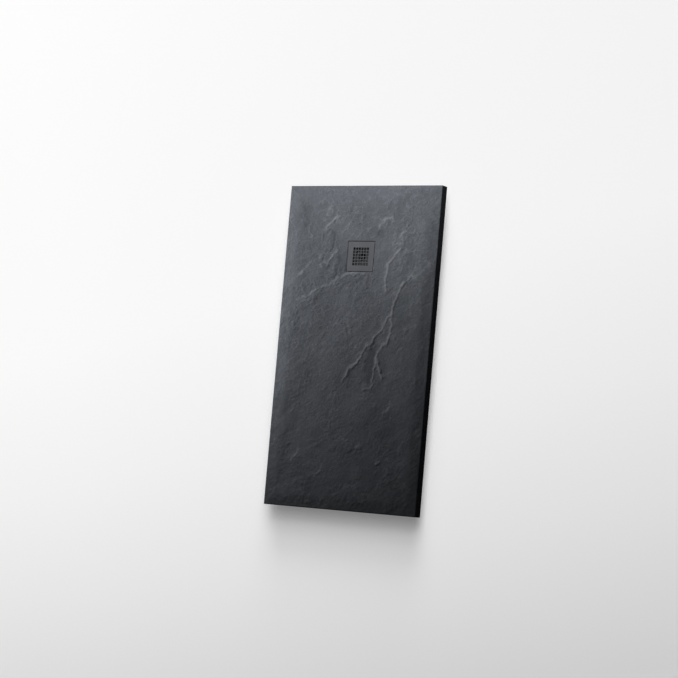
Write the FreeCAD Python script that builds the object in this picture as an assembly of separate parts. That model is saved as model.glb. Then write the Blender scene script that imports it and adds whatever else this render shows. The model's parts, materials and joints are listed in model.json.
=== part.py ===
"""Shower tray of cast mineral resin with a slate-look face, a square drain cover and its waste trap.

The tray lies flat as in use. +Z is up, +Y points to the head end, where the drain is, and +X to the
right. The origin is the centre of the slab's underside, which is bedded on the floor. All sizes are in
millimetres.
"""
import FreeCAD, Part
import os

from FreeCAD import Rotation, Vector

# --- The tray ---------------------------------------------------------------------------------------------
TRAY_WIDTH = 700.0
TRAY_LENGTH = 1300.0
EDGE_HEIGHT = 40.0  # at the outer edge
SKIN_THICKNESS = 1.0  # the pigmented coat over the slab's face and edges
SKIN_LIFT = 2.0  # the coat's lower edge stands this far above the underside
RIM_WIDTH = 50.0
RIM_RISE = 3.0  # the rim slopes up from the outer edge to a ridge
BASIN_FALL = 11.5  # from the ridge down to the drain recess
DRAIN_FROM_HEAD = 285.0

# --- The drain cover and its recess -----------------------------------------------------------------------
COVER_SIDE = 120.0
COVER_GAP = 2.0  # the open groove between the cover and the recess wall
COVER_THICKNESS = 2.0
COVER_CORNER_RADIUS = 2.0
COVER_EDGE_CHAMFER = 0.5
GRID_COUNT = 6
GRID_PITCH = 12.4
GRID_HOLE = 10.4
STUD_RADIUS = 4.0
STUD_HEIGHT = 5.5
PAD_RADIUS = 5.0
PAD_HEIGHT = 1.5
STUD_FROM_EDGE = 10.0

# --- The waste: flange, seals and fasteners ---------------------------------------------------------------
FLANGE_THICKNESS = 3.0
FLANGE_BORE_RADIUS = 33.0
FLANGE_REBATE_GAP = 2.0  # around the flange, in the slab
GASKET_THICKNESS = 2.0
GASKET_MARGIN = 1.0  # a gasket's edge stays this far inside what clamps it
UPPER_GASKET_WIDTH = 10.0
LOWER_GASKET_WIDTH = 13.0
SCREW_COUNT = 4
SCREW_SHANK_RADIUS = 2.4
SCREW_HEAD_RADIUS = 4.6
SCREW_HEAD_HEIGHT = 2.4
SCREW_LENGTH = 15.0
SCREW_HOLE_CLEARANCE = 0.3
SCREW_TIP_ROOM = 1.0  # left under a screw's tip, in the collar
SCREW_SOCKET_RADIUS = 1.7
SCREW_SOCKET_DEPTH = 1.6
INSERT_RADIUS = 3.3
INSERT_LENGTH = 11.0
THREAD_CLEARANCE = 0.05

# --- The trap under the slab ------------------------------------------------------------------------------
COLLAR_WALL = 10.0
COLLAR_HOLE_GAP = 2.0  # around the collar, in the hole through the slab
COLLAR_CLAMP_GAP = 0.3  # left between the collar and the flange, for the screws to pull up
TRAP_FLANGE_THICKNESS = 4.0
TRAP_FLANGE_GAP = 2.0  # around the trap's flange, in the rebate of the slab's underside
WELD_LIP_THICKNESS = 3.0  # the bowl's lip under the flange
TRAP_WALL = 2.5
TRAP_RADIUS = 54.0
TRAP_DEPTH = 61.0  # from the slab's underside to the trap's underside
TRAP_RIB_COUNT = 8
TRAP_RIB_THICKNESS = 2.0
TRAP_RIB_HEIGHT = 14.0
LEDGE_DEPTH = 16.0  # from the recess floor to the ledge in the collar that the seal cup hangs on
LEDGE_WIDTH = 1.4
OUTLET_RISE = 29.0  # from the trap's underside up to the outlet's axis
OUTLET_BORE_RADIUS = 18.0
PIPE_RADIUS = 20.0  # the 40 mm waste pipe that the outlet takes
PIPE_CLEARANCE = 0.15
SOCKET_DEPTH = 24.0
SPIGOT_RADIUS = 23.5
SPIGOT_REACH = 92.0  # from the drain's axis to the spigot's mouth

# --- The outlet's compression joint -----------------------------------------------------------------------
WASHER_THICKNESS = 6.0
WASHER_CLEARANCE = 0.3
WASHER_TAPER = 1.5
SLIP_RING_THICKNESS = 1.5
NUT_WALL = 4.0
NUT_GRIP = 16.0  # how far the nut's thread reaches over the spigot
NUT_SHOULDER = 3.5
NUT_CLEARANCE = 0.3
NUT_BORE_CLEARANCE = 0.6
NUT_RIB_COUNT = 12
NUT_RIB_RADIUS = 1.0

# --- The lift-out pieces ----------------------------------------------------------------------------------
LIFT_CLEARANCE = 0.3  # between pieces that slide past each other
CUP_WALL = 1.5
CUP_FLOOR = 2.0
CUP_LIP = 2.0
CUP_GAP = 6.0  # under the cup, in the bowl
WINDOW_COUNT = 4
WINDOW_WIDTH = 30.0
WINDOW_HEIGHT = 12.0
WINDOW_DROP = 5.0  # from the bowl's top to the top of the windows
TUBE_RADIUS = 20.0
TUBE_WALL = 1.5
TUBE_GAP = 6.0  # under the tube, in the cup
TUBE_HEAD_HEIGHT = 6.0
O_RING_RADIUS = 1.0
O_RING_GROOVE_SLACK = 0.1
STRAINER_PLATE = 1.5
STRAINER_WALL = 1.2
STRAINER_DEPTH = 17.0
STRAINER_RIM_INSET = 1.5
SLOT_COUNT = 8
SLOT_WIDTH = 2.4
SLOT_TOP_MARGIN = 4.0
FLOOR_SLOT_OUTER = 2.0  # the floor slots stop this far from the basket's wall
FLOOR_SLOT_INNER = 5.5
KNOB_STEM_RADIUS = 2.5
KNOB_HEAD_RADIUS = 5.0
KNOB_HEAD_HEIGHT = 3.0
KNOB_HEIGHT = 16.0

# --- Levels and places that follow from the sizes above ---------------------------------------------------
DRAIN_Y = TRAY_LENGTH / 2 - DRAIN_FROM_HEAD
DRAIN = Vector(0, DRAIN_Y, 0)
RIDGE_Z = EDGE_HEIGHT + RIM_RISE
BASIN_LOW_Z = RIDGE_Z - BASIN_FALL
RECESS_SIDE = COVER_SIDE + 2 * COVER_GAP
COVER_Z = BASIN_LOW_Z - COVER_THICKNESS
RECESS_FLOOR_Z = COVER_Z - STUD_HEIGHT - PAD_HEIGHT
FLANGE_Z = RECESS_FLOOR_Z - FLANGE_THICKNESS
FLANGE_SEAT_Z = FLANGE_Z - GASKET_THICKNESS
COLLAR_TOP_Z = FLANGE_Z - COLLAR_CLAMP_GAP
SCREW_TIP_Z = RECESS_FLOOR_Z - SCREW_LENGTH
SCREW_CIRCLE_RADIUS = FLANGE_BORE_RADIUS + COLLAR_WALL / 2
COLLAR_RADIUS = FLANGE_BORE_RADIUS + COLLAR_WALL
WASTE_HOLE_RADIUS = COLLAR_RADIUS + COLLAR_HOLE_GAP
FLANGE_RADIUS = WASTE_HOLE_RADIUS + UPPER_GASKET_WIDTH + 2 * GASKET_MARGIN
TRAP_FLANGE_RADIUS = WASTE_HOLE_RADIUS + LOWER_GASKET_WIDTH + 2 * GASKET_MARGIN
LOWER_SEAT_Z = TRAP_FLANGE_THICKNESS + GASKET_THICKNESS
TRAP_FLOOR_Z = TRAP_WALL - TRAP_DEPTH
OUTLET_Z = OUTLET_RISE - TRAP_DEPTH
LEDGE_Z = RECESS_FLOOR_Z - LEDGE_DEPTH
LEDGE_RADIUS = FLANGE_BORE_RADIUS - LEDGE_WIDTH
LIFT_RADIUS = FLANGE_BORE_RADIUS - LIFT_CLEARANCE
CUP_RADIUS = LEDGE_RADIUS - LIFT_CLEARANCE
CUP_BOTTOM_Z = TRAP_FLOOR_Z + CUP_GAP
TUBE_END_Z = CUP_BOTTOM_Z + CUP_FLOOR + TUBE_GAP
TUBE_HEAD_Z = LEDGE_Z + CUP_LIP
TUBE_TOP_Z = TUBE_HEAD_Z + TUBE_HEAD_HEIGHT
TUBE_BORE_RADIUS = TUBE_RADIUS - TUBE_WALL
O_RING_GROOVE_Z = TUBE_HEAD_Z + (TUBE_HEAD_HEIGHT - 2 * O_RING_RADIUS) / 2
STRAINER_RADIUS = TUBE_BORE_RADIUS - LIFT_CLEARANCE
STRAINER_BORE_RADIUS = STRAINER_RADIUS - STRAINER_WALL
STRAINER_BOTTOM_Z = TUBE_TOP_Z + STRAINER_PLATE - STRAINER_DEPTH
STRAINER_FLOOR_Z = STRAINER_BOTTOM_Z + STRAINER_PLATE
SOCKET_RADIUS = PIPE_RADIUS + PIPE_CLEARANCE
WASHER_REACH = SPIGOT_REACH + WASHER_THICKNESS
SLIP_RING_REACH = WASHER_REACH + SLIP_RING_THICKNESS
NUT_REACH = SLIP_RING_REACH + NUT_SHOULDER
EXTRA = 1.0  # how far a cutting tool runs past the face that it cuts


# --- Helpers ----------------------------------------------------------------------------------------------
def face_of(points):
    """A flat face whose outline runs straight through the points."""
    return Part.Face(Part.makePolygon([*points, points[0]]))


def turned(profile):
    """The solid that a closed profile of (radius, z) points makes when it turns about the drain's axis."""
    face = face_of([Vector(radius, 0, z) for radius, z in profile])
    return face.revolve(Vector(), Vector(0, 0, 1), 360).translated(DRAIN)


def ring(inner, outer, low, high):
    """A flat-ended ring about the drain's axis."""
    return turned([(inner, low), (outer, low), (outer, high), (inner, high)])


def disc(radius, low, high):
    """A disc or shaft on the drain's axis."""
    return Part.makeCylinder(radius, high - low, DRAIN + Vector(0, 0, low))


def outlet_turned(profile):
    """The solid that (radius, reach) points make about the outlet's axis, reach being measured along +Y."""
    face = face_of([Vector(radius, 0, reach) for radius, reach in profile])
    solid = face.revolve(Vector(), Vector(0, 0, 1), 360)
    solid.Placement = FreeCAD.Placement(DRAIN + Vector(0, 0, OUTLET_Z), Rotation(Vector(1, 0, 0), -90))
    return solid


def outlet_shaft(radius, start, end):
    """A shaft on the outlet's axis from one reach to another."""
    return Part.makeCylinder(radius, end - start, DRAIN + Vector(0, start, OUTLET_Z), Vector(0, 1, 0))


def around_drain(shape, count, first_angle=0.0):
    """Copies of a shape, evenly spaced about the drain's axis."""
    step = 360.0 / count
    return [shape.rotated(DRAIN, Vector(0, 0, 1), first_angle + step * i) for i in range(count)]


def rectangle(width, length, z, centre_y=0.0):
    """A level rectangular wire centred on x = 0."""
    x = width / 2
    low = centre_y - length / 2
    high = centre_y + length / 2
    corners = [Vector(-x, low, z), Vector(x, low, z), Vector(x, high, z), Vector(-x, high, z)]
    return Part.makePolygon([*corners, corners[0]])


def square_block(side, low, high, centre):
    """An upright square block about a centre in plan."""
    corner = Vector(centre.x - side / 2, centre.y - side / 2, low)
    return Part.makeBox(side, side, high - low, corner)


def save(name, shape):
    """Writes one sub-part."""
    shape.exportStep(f"parts/{name}.step")


# --- The slab and its coat --------------------------------------------------------------------------------
def blank_profile(span, top, rim_width, base):
    """The face across the tray: straight sides, and a top that slopes down towards both edges."""
    half = span / 2
    ridge = half - rim_width
    shoulder = top - RIM_RISE
    right = [(half, base), (half, shoulder), (ridge, top)]
    left = [(-x, z) for x, z in reversed(right)]
    return face_of([Vector(x, 0, z) for x, z in [*right, *left]])


def sloped_blank(inset, base):
    """A slab whose rim slopes down towards all four edges and meets in mitred corners."""
    width = TRAY_WIDTH - 2 * inset
    length = TRAY_LENGTH - 2 * inset
    top = RIDGE_Z - inset
    rim_width = RIM_WIDTH - inset
    across = blank_profile(width, top, rim_width, base).extrude(Vector(0, length, 0))
    across.translate(Vector(0, -length / 2, 0))
    along = blank_profile(length, top, rim_width, base).extrude(Vector(0, width, 0))
    along.translate(Vector(0, -width / 2, 0))
    along.rotate(Vector(), Vector(0, 0, 1), 90)
    return across.common(along)


def basin_cut(inset):
    """What is cut from the blank: four planes that fall to the drain, and the cover's recess."""
    width = TRAY_WIDTH - 2 * RIM_WIDTH
    length = TRAY_LENGTH - 2 * RIM_WIDTH
    side = RECESS_SIDE + 2 * inset
    ridge = rectangle(width, length, RIDGE_Z - inset)
    mouth = rectangle(side, side, BASIN_LOW_Z - inset, DRAIN_Y)
    planes = Part.makeLoft([ridge, mouth], True, True)
    corner = Vector(-width / 2, -length / 2, RIDGE_Z - inset)
    above = Part.makeBox(width, length, EXTRA, corner)
    recess = square_block(side, RECESS_FLOOR_Z - inset, BASIN_LOW_Z - inset, DRAIN)
    return planes.fuse([above, recess])


def waste_cut():
    """The hole through the slab, with a round rebate at each end for the two flanges."""
    upper = disc(FLANGE_RADIUS + FLANGE_REBATE_GAP, FLANGE_SEAT_Z, BASIN_LOW_Z)
    lower = disc(TRAP_FLANGE_RADIUS + TRAP_FLANGE_GAP, -EXTRA, LOWER_SEAT_Z)
    hole = disc(WASTE_HOLE_RADIUS, -EXTRA, BASIN_LOW_Z)
    return hole.fuse([upper, lower])


def tray_form(inset, base):
    """The tray's solid form, drawn in by an inset on every face but its underside."""
    form = sloped_blank(inset, base).cut(basin_cut(inset)).cut(waste_cut())
    return form.removeSplitter()


def slab_core():
    return tray_form(SKIN_THICKNESS, 0.0)


def gelcoat_skin(core):
    return tray_form(0.0, SKIN_LIFT).cut(core).removeSplitter()


# --- The drain cover --------------------------------------------------------------------------------------
def drain_cover():
    """A flat square plate with a square field of square holes."""
    plate = square_block(COVER_SIDE, COVER_Z, BASIN_LOW_Z, DRAIN)
    corners = [e for e in plate.Edges if abs(e.Vertexes[0].Z - e.Vertexes[1].Z) > EXTRA]
    plate = plate.makeFillet(COVER_CORNER_RADIUS, corners)
    top = [e for e in plate.Edges if abs(e.BoundBox.ZMin - BASIN_LOW_Z) < COVER_EDGE_CHAMFER / 2]
    plate = plate.makeChamfer(COVER_EDGE_CHAMFER, top)
    first = -GRID_PITCH * (GRID_COUNT - 1) / 2
    places = [first + GRID_PITCH * i for i in range(GRID_COUNT)]
    holes = [
        square_block(GRID_HOLE, COVER_Z - EXTRA, BASIN_LOW_Z + EXTRA, DRAIN + Vector(x, y, 0))
        for x in places
        for y in places
    ]
    return plate.cut(holes)


def cover_supports(radius, low, high):
    """Four short cylinders under the cover's corners."""
    reach = COVER_SIDE / 2 - STUD_FROM_EDGE
    spots = [Vector(x, y, low) for x in (-reach, reach) for y in (-reach, reach)]
    return Part.makeCompound([Part.makeCylinder(radius, high - low, DRAIN + spot) for spot in spots])


def cover_studs():
    return cover_supports(STUD_RADIUS, COVER_Z - STUD_HEIGHT, COVER_Z)


def cover_pads():
    return cover_supports(PAD_RADIUS, RECESS_FLOOR_Z, RECESS_FLOOR_Z + PAD_HEIGHT)


# --- The flange, its seals and its screws -----------------------------------------------------------------
def screw_holes(radius, low, high):
    hole = Part.makeCylinder(radius, high - low, DRAIN + Vector(SCREW_CIRCLE_RADIUS, 0, low))
    return around_drain(hole, SCREW_COUNT, 180.0 / SCREW_COUNT)


def countersinks(clearance):
    """The cones that the screws' heads fill, larger by a clearance."""
    cone = Part.makeCone(
        SCREW_SHANK_RADIUS + clearance,
        SCREW_HEAD_RADIUS + clearance,
        SCREW_HEAD_HEIGHT,
        DRAIN + Vector(SCREW_CIRCLE_RADIUS, 0, RECESS_FLOOR_Z - SCREW_HEAD_HEIGHT),
    )
    return around_drain(cone, SCREW_COUNT, 180.0 / SCREW_COUNT)


def waste_flange():
    """The clamping ring, flush with the recess floor."""
    plate = ring(FLANGE_BORE_RADIUS, FLANGE_RADIUS, FLANGE_Z, RECESS_FLOOR_Z)
    shank_radius = SCREW_SHANK_RADIUS + SCREW_HOLE_CLEARANCE
    shanks = screw_holes(shank_radius, FLANGE_Z - EXTRA, RECESS_FLOOR_Z)
    return plate.cut(shanks).cut(countersinks(SCREW_HOLE_CLEARANCE))


def flange_gasket():
    outer = FLANGE_RADIUS - GASKET_MARGIN
    return ring(WASTE_HOLE_RADIUS + GASKET_MARGIN, outer, FLANGE_SEAT_Z, FLANGE_Z)


def lower_gasket():
    outer = TRAP_FLANGE_RADIUS - GASKET_MARGIN
    return ring(WASTE_HOLE_RADIUS + GASKET_MARGIN, outer, TRAP_FLANGE_THICKNESS, LOWER_SEAT_Z)


def flange_screws():
    """Countersunk screws with a round driving socket."""
    shanks = screw_holes(SCREW_SHANK_RADIUS, SCREW_TIP_Z, RECESS_FLOOR_Z - SCREW_HEAD_HEIGHT)
    sockets = screw_holes(
        SCREW_SOCKET_RADIUS, RECESS_FLOOR_Z - SCREW_SOCKET_DEPTH, RECESS_FLOOR_Z + EXTRA
    )
    heads = countersinks(0.0)
    return Part.makeCompound(
        [
            shank.fuse(head).cut(socket)
            for shank, head, socket in zip(shanks, heads, sockets, strict=True)
        ]
    )


def threaded_inserts():
    low = COLLAR_TOP_Z - INSERT_LENGTH
    bodies = screw_holes(INSERT_RADIUS, low, COLLAR_TOP_Z)
    bores = screw_holes(SCREW_SHANK_RADIUS + THREAD_CLEARANCE, low - EXTRA, COLLAR_TOP_Z + EXTRA)
    return Part.makeCompound([body.cut(bore) for body, bore in zip(bodies, bores, strict=True)])


# --- The trap ---------------------------------------------------------------------------------------------
def trap_collar():
    """The collar that comes up through the slab, its flange, and the seats of the inserts."""
    collar = turned(
        [
            (LEDGE_RADIUS, 0),
            (TRAP_FLANGE_RADIUS, 0),
            (TRAP_FLANGE_RADIUS, TRAP_FLANGE_THICKNESS),
            (COLLAR_RADIUS, TRAP_FLANGE_THICKNESS),
            (COLLAR_RADIUS, COLLAR_TOP_Z),
            (FLANGE_BORE_RADIUS, COLLAR_TOP_Z),
            (FLANGE_BORE_RADIUS, LEDGE_Z),
            (LEDGE_RADIUS, LEDGE_Z),
        ]
    )
    seats = screw_holes(INSERT_RADIUS, COLLAR_TOP_Z - INSERT_LENGTH, COLLAR_TOP_Z + EXTRA)
    pilot_radius = SCREW_SHANK_RADIUS + SCREW_HOLE_CLEARANCE
    pilots = screw_holes(pilot_radius, SCREW_TIP_Z - SCREW_TIP_ROOM, COLLAR_TOP_Z)
    return collar.cut([*seats, *pilots]).removeSplitter()


def bowl_ribs():
    """Thin webs between the bowl's wall and the lip above it."""
    high = -WELD_LIP_THICKNESS
    low = high - TRAP_RIB_HEIGHT
    inner = TRAP_RADIUS - TRAP_WALL / 2
    corners = [(inner, low), (TRAP_RADIUS, low), (TRAP_FLANGE_RADIUS, high), (inner, high)]
    face = face_of([Vector(radius, -TRAP_RIB_THICKNESS / 2, z) for radius, z in corners])
    rib = face.extrude(Vector(0, TRAP_RIB_THICKNESS, 0)).translated(DRAIN)
    return around_drain(rib, TRAP_RIB_COUNT, 180.0 / TRAP_RIB_COUNT)


def trap_bowl():
    """The bowl, welded to the collar at its lip, with the outlet spigot and the pipe's socket in it."""
    inner = TRAP_RADIUS - TRAP_WALL
    bowl = turned(
        [
            (0, -TRAP_DEPTH),
            (TRAP_RADIUS, -TRAP_DEPTH),
            (TRAP_RADIUS, -WELD_LIP_THICKNESS),
            (TRAP_FLANGE_RADIUS, -WELD_LIP_THICKNESS),
            (TRAP_FLANGE_RADIUS, 0),
            (inner, 0),
            (inner, TRAP_FLOOR_Z),
            (0, TRAP_FLOOR_Z),
        ]
    )
    spigot = outlet_shaft(SPIGOT_RADIUS, inner, SPIGOT_REACH)
    spigot = spigot.cut(disc(inner, TRAP_FLOOR_Z, 0))
    bore = outlet_shaft(OUTLET_BORE_RADIUS, 0, SPIGOT_REACH)
    socket = outlet_shaft(SOCKET_RADIUS, SPIGOT_REACH - SOCKET_DEPTH, SPIGOT_REACH + EXTRA)
    return bowl.fuse([spigot, *bowl_ribs()]).cut([bore, socket]).removeSplitter()


def outlet_washer():
    """The cone washer: its outer face tapers towards the spigot."""
    inner = SOCKET_RADIUS + WASHER_CLEARANCE
    return outlet_turned(
        [
            (inner, SPIGOT_REACH),
            (SPIGOT_RADIUS - WASHER_TAPER, SPIGOT_REACH),
            (SPIGOT_RADIUS, WASHER_REACH),
            (inner, WASHER_REACH),
        ]
    )


def outlet_slip_ring():
    inner = SOCKET_RADIUS + WASHER_CLEARANCE
    return outlet_turned(
        [
            (inner, WASHER_REACH),
            (SPIGOT_RADIUS, WASHER_REACH),
            (SPIGOT_RADIUS, SLIP_RING_REACH),
            (inner, SLIP_RING_REACH),
        ]
    )


def outlet_nut():
    """The union nut, with finger ribs along its outside."""
    inner = SPIGOT_RADIUS + NUT_CLEARANCE
    outer = SPIGOT_RADIUS + NUT_WALL
    bore = SOCKET_RADIUS + NUT_BORE_CLEARANCE
    back = SPIGOT_REACH - NUT_GRIP
    nut = outlet_turned(
        [
            (inner, back),
            (outer, back),
            (outer, NUT_REACH),
            (bore, NUT_REACH),
            (bore, SLIP_RING_REACH),
            (inner, SLIP_RING_REACH),
        ]
    )
    axis_point = DRAIN + Vector(0, 0, OUTLET_Z)
    rib = Part.makeCylinder(
        NUT_RIB_RADIUS, NUT_REACH - back, axis_point + Vector(0, back, outer), Vector(0, 1, 0)
    )
    step = 360.0 / NUT_RIB_COUNT
    ribs = [
        rib.rotated(axis_point, Vector(0, 1, 0), step * (i + 0.5)) for i in range(NUT_RIB_COUNT)
    ]
    return nut.fuse(ribs).removeSplitter()


# --- The lift-out pieces ----------------------------------------------------------------------------------
def seal_cup():
    """The cup that holds the water seal. Water leaves it over the sills of its windows."""
    inner = CUP_RADIUS - CUP_WALL
    cup = turned(
        [
            (0, CUP_BOTTOM_Z),
            (CUP_RADIUS, CUP_BOTTOM_Z),
            (CUP_RADIUS, LEDGE_Z),
            (LIFT_RADIUS, LEDGE_Z),
            (LIFT_RADIUS, LEDGE_Z + CUP_LIP),
            (inner, LEDGE_Z + CUP_LIP),
            (inner, CUP_BOTTOM_Z + CUP_FLOOR),
            (0, CUP_BOTTOM_Z + CUP_FLOOR),
        ]
    )
    sill = -WINDOW_DROP - WINDOW_HEIGHT
    corner = DRAIN + Vector(CUP_WALL, -WINDOW_WIDTH / 2, sill)
    window = Part.makeBox(CUP_RADIUS, WINDOW_WIDTH, WINDOW_HEIGHT, corner)
    return cup.cut(around_drain(window, WINDOW_COUNT, 180.0 / WINDOW_COUNT))


def dip_tube():
    """The tube that dips into the cup. Its head rests on the cup's lip and holds the O-ring in a groove."""
    groove_floor = LIFT_RADIUS - 2 * O_RING_RADIUS
    groove_top = O_RING_GROOVE_Z + 2 * O_RING_RADIUS
    return turned(
        [
            (TUBE_BORE_RADIUS, TUBE_END_Z),
            (TUBE_RADIUS, TUBE_END_Z),
            (TUBE_RADIUS, TUBE_HEAD_Z),
            (LIFT_RADIUS, TUBE_HEAD_Z),
            (LIFT_RADIUS, O_RING_GROOVE_Z - O_RING_GROOVE_SLACK),
            (groove_floor, O_RING_GROOVE_Z - O_RING_GROOVE_SLACK),
            (groove_floor, groove_top + O_RING_GROOVE_SLACK),
            (LIFT_RADIUS, groove_top + O_RING_GROOVE_SLACK),
            (LIFT_RADIUS, TUBE_TOP_Z),
            (TUBE_BORE_RADIUS, TUBE_TOP_Z),
        ]
    )


def dip_tube_o_ring():
    centre = DRAIN + Vector(0, 0, O_RING_GROOVE_Z + O_RING_RADIUS)
    return Part.makeTorus(LIFT_RADIUS - O_RING_RADIUS, O_RING_RADIUS, centre)


def hair_strainer():
    """The slotted basket that hangs in the dip tube, with a rim that rests on the tube's head."""
    outer = LIFT_RADIUS - STRAINER_RIM_INSET
    basket = turned(
        [
            (0, STRAINER_BOTTOM_Z),
            (STRAINER_RADIUS, STRAINER_BOTTOM_Z),
            (STRAINER_RADIUS, TUBE_TOP_Z),
            (outer, TUBE_TOP_Z),
            (outer, TUBE_TOP_Z + STRAINER_PLATE),
            (STRAINER_BORE_RADIUS, TUBE_TOP_Z + STRAINER_PLATE),
            (STRAINER_BORE_RADIUS, STRAINER_FLOOR_Z),
            (0, STRAINER_FLOOR_Z),
        ]
    )
    slot_top = TUBE_TOP_Z - SLOT_TOP_MARGIN
    wall_slot = Part.makeBox(
        STRAINER_RADIUS,
        SLOT_WIDTH,
        slot_top - STRAINER_FLOOR_Z,
        DRAIN + Vector(STRAINER_WALL, -SLOT_WIDTH / 2, STRAINER_FLOOR_Z),
    )
    floor_slot = Part.makeBox(
        STRAINER_BORE_RADIUS - FLOOR_SLOT_OUTER - FLOOR_SLOT_INNER,
        SLOT_WIDTH,
        STRAINER_PLATE + 2 * EXTRA,
        DRAIN + Vector(FLOOR_SLOT_INNER, -SLOT_WIDTH / 2, STRAINER_BOTTOM_Z - EXTRA),
    )
    wall_slots = around_drain(wall_slot, SLOT_COUNT)
    floor_slots = around_drain(floor_slot, SLOT_COUNT, 180.0 / SLOT_COUNT)
    return basket.cut(wall_slots).cut(floor_slots)


def strainer_knob():
    """The knob on the basket's floor that the strainer is lifted by."""
    top = STRAINER_FLOOR_Z + KNOB_HEIGHT
    return turned(
        [
            (0, STRAINER_FLOOR_Z),
            (KNOB_STEM_RADIUS, STRAINER_FLOOR_Z),
            (KNOB_STEM_RADIUS, top - KNOB_HEAD_HEIGHT),
            (KNOB_HEAD_RADIUS, top - KNOB_HEAD_HEIGHT),
            (KNOB_HEAD_RADIUS, top),
            (0, top),
        ]
    )


def main():
    os.makedirs("parts", exist_ok=True)
    core = slab_core()
    pieces = {
        "slab_core": core,
        "gelcoat_skin": gelcoat_skin(core),
        "drain_cover": drain_cover(),
        "cover_studs": cover_studs(),
        "cover_pads": cover_pads(),
        "waste_flange": waste_flange(),
        "flange_gasket": flange_gasket(),
        "flange_screws": flange_screws(),
        "threaded_inserts": threaded_inserts(),
        "lower_gasket": lower_gasket(),
        "trap_collar": trap_collar(),
        "trap_bowl": trap_bowl(),
        "seal_cup": seal_cup(),
        "dip_tube": dip_tube(),
        "dip_tube_o_ring": dip_tube_o_ring(),
        "hair_strainer": hair_strainer(),
        "strainer_knob": strainer_knob(),
        "outlet_washer": outlet_washer(),
        "outlet_slip_ring": outlet_slip_ring(),
        "outlet_nut": outlet_nut(),
    }
    for name, shape in pieces.items():
        save(name, shape)
        print(name, len(shape.Solids), "solids", round(shape.Volume), "mm3", shape.isValid())


main()
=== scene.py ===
"""Looks of the shower tray: its slate-look face, its finishes, the floor, the light and the camera.

Sizes and places are in millimetres in the row frame, and are turned into metres where Blender takes them. The
scale of a material's noise is in features per metre, and that of the relief's noise is a feature's size.
"""

import json
import math

import bpy
import numpy as np
from mathutils import Matrix, Vector


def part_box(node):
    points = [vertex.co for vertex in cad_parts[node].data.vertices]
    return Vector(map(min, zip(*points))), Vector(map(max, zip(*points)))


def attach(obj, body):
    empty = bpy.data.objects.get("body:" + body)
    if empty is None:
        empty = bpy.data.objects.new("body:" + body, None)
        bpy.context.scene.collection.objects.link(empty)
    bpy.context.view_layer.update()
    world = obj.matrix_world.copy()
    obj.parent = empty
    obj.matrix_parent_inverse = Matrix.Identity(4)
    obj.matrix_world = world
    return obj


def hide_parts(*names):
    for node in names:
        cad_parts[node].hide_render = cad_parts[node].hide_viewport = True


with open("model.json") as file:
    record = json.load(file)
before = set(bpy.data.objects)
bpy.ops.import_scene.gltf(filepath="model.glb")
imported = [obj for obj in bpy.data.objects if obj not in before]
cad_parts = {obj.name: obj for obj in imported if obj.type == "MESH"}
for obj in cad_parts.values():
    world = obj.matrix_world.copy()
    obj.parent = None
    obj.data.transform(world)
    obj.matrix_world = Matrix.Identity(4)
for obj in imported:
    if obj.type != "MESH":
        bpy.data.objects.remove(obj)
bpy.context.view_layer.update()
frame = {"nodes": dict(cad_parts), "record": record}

MM = 0.001

# --- Sizes read from the frame -----------------------------------------------------------------------------
skin_low, skin_high = (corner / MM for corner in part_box("gelcoat_skin"))
cover_low, cover_high = (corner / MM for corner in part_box("drain_cover"))
flange_low, flange_high = (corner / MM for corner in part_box("waste_flange"))
bowl_low, bowl_high = (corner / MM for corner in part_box("trap_bowl"))
HALF_WIDTH = skin_high.x
HALF_LENGTH = skin_high.y
RIDGE_Z = skin_high.z
SKIN_FOOT_Z = skin_low.z
BASIN_LOW_Z = cover_high.z
RECESS_FLOOR_Z = flange_high.z
DRAIN_Y = (cover_low.y + cover_high.y) / 2
FLANGE_RADIUS = (flange_high.x - flange_low.x) / 2

# --- Sizes of the face that no box gives -------------------------------------------------------------------
RIM_WIDTH = 50.0
RIM_RISE = 3.0
SKIN_THICKNESS = 1.0
COVER_GAP = 2.0
REBATE_GAP = 2.0
EDGE_RADIUS = 1.5
LIP_RADIUS = 1.6
FOLD_SOFTNESS = 0.25  # how softly the falls of the basin meet
RIDGE_SOFTNESS = 0.18  # how softly the rim turns into the falls
RECESS_HALF = (cover_high.x - cover_low.x) / 2 + COVER_GAP
FLANGE_HOLE_RADIUS = FLANGE_RADIUS + REBATE_GAP

# --- The coat's mesh ---------------------------------------------------------------------------------------
GRID_STEP = 3.4
EDGE_STOP_SHARES = (0.0, 0.08, 0.35, 1.0)  # where grid lines cross a rounded edge, as shares of its radius
SIDE_ROWS = 6
SIDE_WAVE_DEPTH = 0.12  # how far the rows of a side lie behind the solid's face on average
SIDE_WAVE_SPREAD = 0.1  # how far that depth changes from place to place
SIDE_WAVE_SCALE = 21.0
SIDE_ROW_SHIFT = 37.0  # each row of a side takes its waves from this much further along the noise
ON_WALL = 0.015  # a point this near to the plane of a side lies on it
SHARP_ANGLE = math.radians(50.0)

# --- The slate relief's limits -----------------------------------------------------------------------------
RELIEF_LOW = 0.8  # the relief stays this near below the plain surface
RELIEF_HIGH = 3.4  # and this near above it
RELIEF_RISE = 0.4  # how far the slate stands above the plain surface on average, below the ridge's level
RIDGE_CAP = 0.12  # how softly the ridge's level cuts the relief off
RECESS_CALM = 0.12  # the share of the relief that is left at the recess
RECESS_CALM_REACH = 8.0
EDGE_CALM = 0.4  # the share of the relief that is left at the tray's edges
EDGE_CALM_REACH = 15.0

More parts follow.
